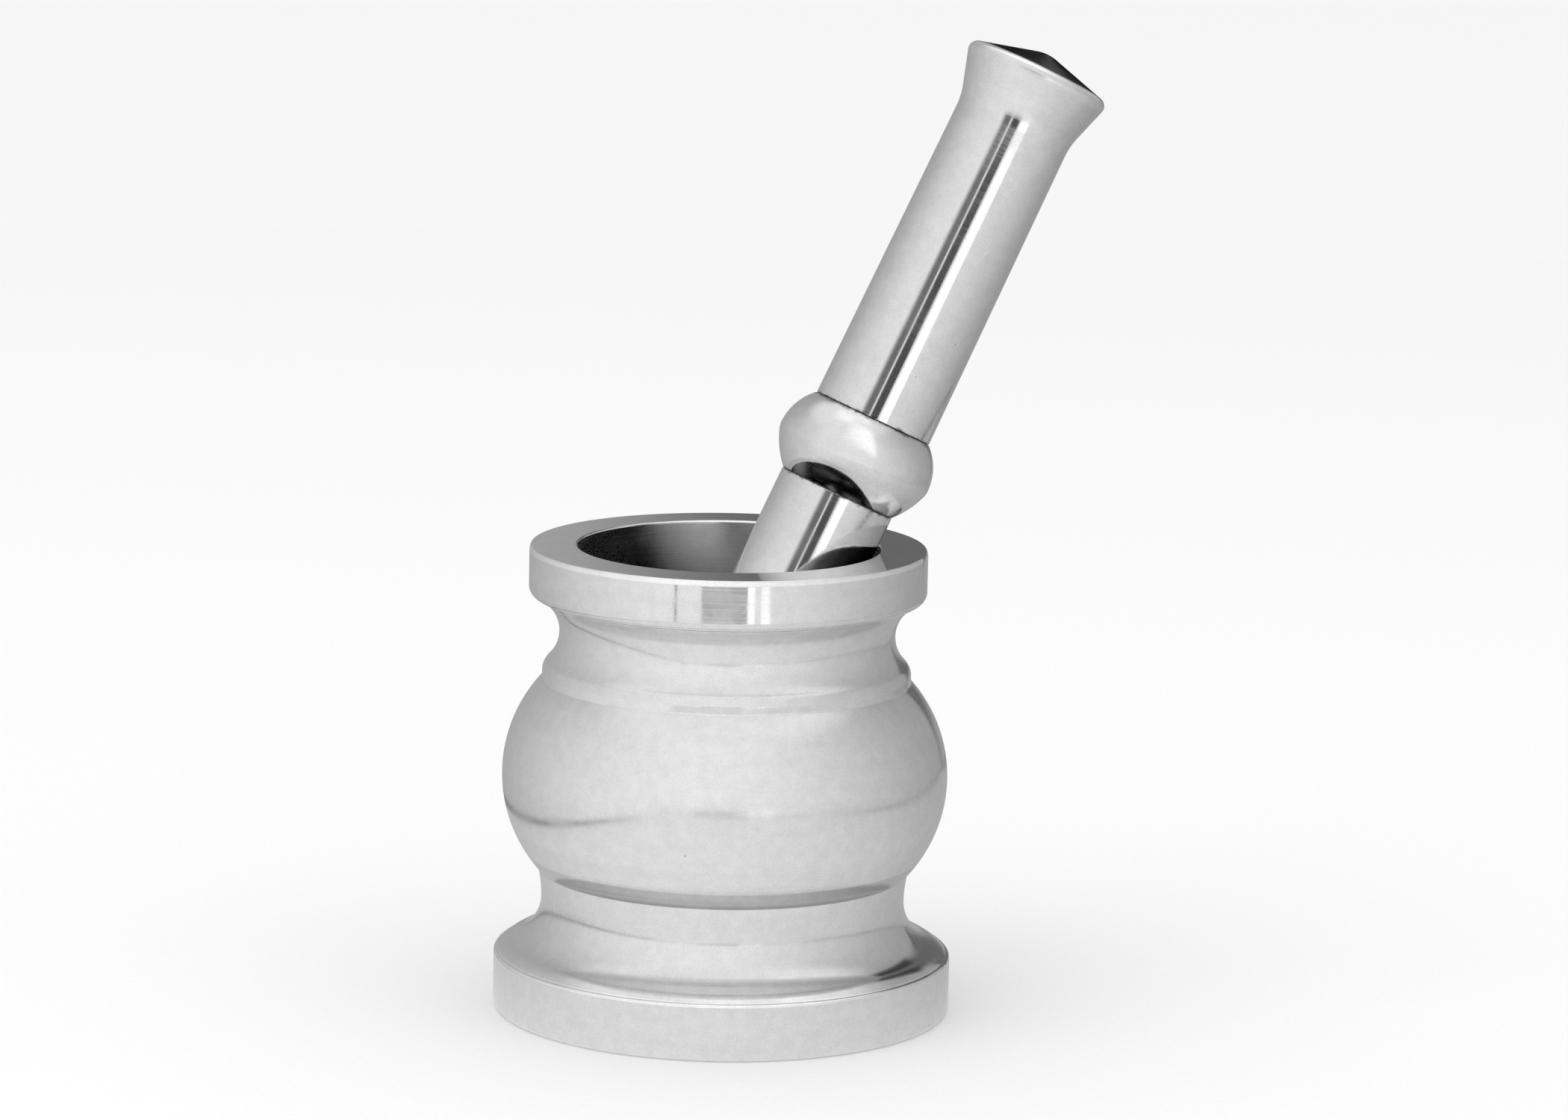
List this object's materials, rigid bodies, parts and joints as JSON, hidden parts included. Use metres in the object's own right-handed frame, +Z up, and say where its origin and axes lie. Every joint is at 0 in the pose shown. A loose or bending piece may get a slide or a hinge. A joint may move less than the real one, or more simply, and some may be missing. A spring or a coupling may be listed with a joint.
{
  "type": "mortar and pestle",
  "caption": "Turned and polished stainless-steel mortar on a round plinth, with a collared pestle that leans in the bowl and lifts out.",
  "frame": {"origin": "centre of the mortar's flat underside", "axes": "+Z up along the mortar's axis; the pestle leans towards +X, its own axis parallel to the XZ plane; +Y completes the right-handed frame"},
  "size_m": [0.1182, 0.09, 0.19],
  "materials": {
    "mortar_steel": "polished, with fine turning lines; brushed inside the bowl",
    "rod_steel": "polished, with fine turning lines",
    "collar_steel": "polished",
    "grip_steel": "polished, with fine lines along and around",
    "stud_steel": "as turned"
  },
  "bodies": {
    "mortar": {"mortar_body": "mortar_steel"},
    "pestle": {"pestle_rod": "rod_steel", "pestle_collar": "collar_steel", "pestle_grip": "grip_steel", "joining_stud": "stud_steel"}
  },
  "joints": [
    {"name": "pestle_lift", "type": "slide", "parent": "mortar", "child": "pestle", "axis": [0.4337, 0, 0.9011], "range_m": [0, 0.12]}
  ]
}
